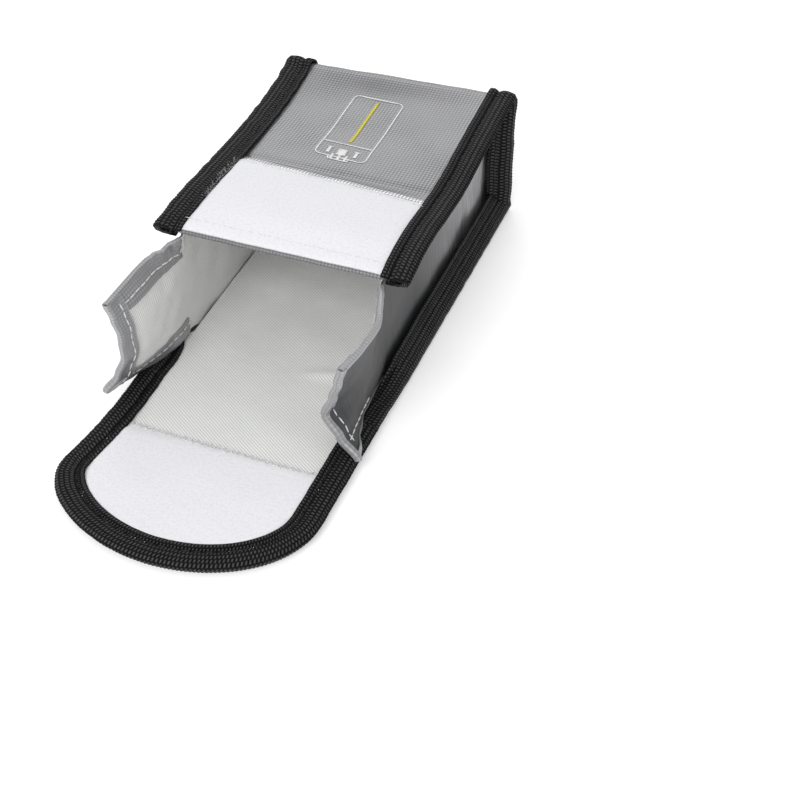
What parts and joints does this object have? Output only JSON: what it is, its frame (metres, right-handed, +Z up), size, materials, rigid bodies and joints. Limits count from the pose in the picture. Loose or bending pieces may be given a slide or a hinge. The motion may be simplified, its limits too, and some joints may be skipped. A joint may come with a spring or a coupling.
{
  "type": "fire-resistant battery pouch",
  "caption": "Box-shaped coated-fabric pouch for one battery, with tuck-in side ears, tape-bound seams and a round-ended hook-and-loop flap.",
  "frame": {"origin": "centre of the bottom panel's underside, on the table", "axes": "+Z up; +Y from the mouth towards the closed end, so the flap lies towards -Y; +X to the right of somebody looking into the mouth"},
  "size_m": [0.0692, 0.1675, 0.0389],
  "materials": {
    "coated_fabric": "silver coated glass-fibre fabric with a fine square grid, semi-gloss",
    "twill_lining": "off-white twill",
    "binding_tape": "black woven tape, matt",
    "fastener_pile": "white hook and loop fastener"
  },
  "bodies": {
    "bag": {"bottom_shell": "coated_fabric", "bottom_lining": "twill_lining", "end_shell": "coated_fabric", "end_lining": "twill_lining", "top_shell": "coated_fabric", "top_lining": "twill_lining", "loop_fastener": "fastener_pile", "mouth_hem": "coated_fabric", "left_side_shell": "coated_fabric", "left_side_lining": "twill_lining", "right_side_shell": "coated_fabric", "right_side_lining": "twill_lining", "left_bottom_tape": "binding_tape", "left_upright_tape": "binding_tape", "left_top_tape": "binding_tape", "right_bottom_tape": "binding_tape", "right_upright_tape": "binding_tape", "right_top_tape": "binding_tape"},
    "mouth_cover": {"cover_shell": "coated_fabric", "cover_lining": "twill_lining", "cover_left_tape": "binding_tape", "cover_right_tape": "binding_tape"},
    "tongue": {"tongue_shell": "coated_fabric", "tongue_lining": "twill_lining", "hook_fastener": "fastener_pile", "tongue_tape": "binding_tape"},
    "left_ear": {"left_ear_shell": "coated_fabric", "left_ear_lining": "twill_lining", "left_ear_top_hem": "coated_fabric", "left_ear_bottom_hem": "coated_fabric", "left_ear_front_hem": "coated_fabric"},
    "right_ear": {"right_ear_shell": "coated_fabric", "right_ear_lining": "twill_lining", "right_ear_top_hem": "coated_fabric", "right_ear_bottom_hem": "coated_fabric", "right_ear_front_hem": "coated_fabric"}
  },
  "joints": [
    {"name": "flap_fold", "type": "hinge", "parent": "bag", "child": "mouth_cover", "pos_m": [0, -0.0444, 0.0034], "axis": [-1, 0, 0], "range_deg": [0, 90]},
    {"name": "tongue_fold", "type": "hinge", "parent": "mouth_cover", "child": "tongue", "pos_m": [0, -0.0784, 0.0034], "axis": [-1, 0, 0], "range_deg": [0, 90]},
    {"name": "left_ear_tuck", "type": "hinge", "parent": "bag", "child": "left_ear", "pos_m": [-0.0277, -0.043, 0], "axis": [0, 0, 1], "range_deg": [0, 130], "deforming": ["left_ear_shell", "left_ear_lining", "left_ear_top_hem", "left_ear_bottom_hem", "left_ear_front_hem"]},
    {"name": "right_ear_tuck", "type": "hinge", "parent": "bag", "child": "right_ear", "pos_m": [0.0277, -0.043, 0], "axis": [0, 0, -1], "range_deg": [0, 110], "deforming": ["right_ear_shell", "right_ear_lining", "right_ear_top_hem", "right_ear_bottom_hem", "right_ear_front_hem"]}
  ],
  "couplings": [
    {"joint": "left_ear_tuck", "follows": "flap_fold", "ratio": 1.3556},
    {"joint": "right_ear_tuck", "follows": "flap_fold", "ratio": 1.1333}
  ]
}
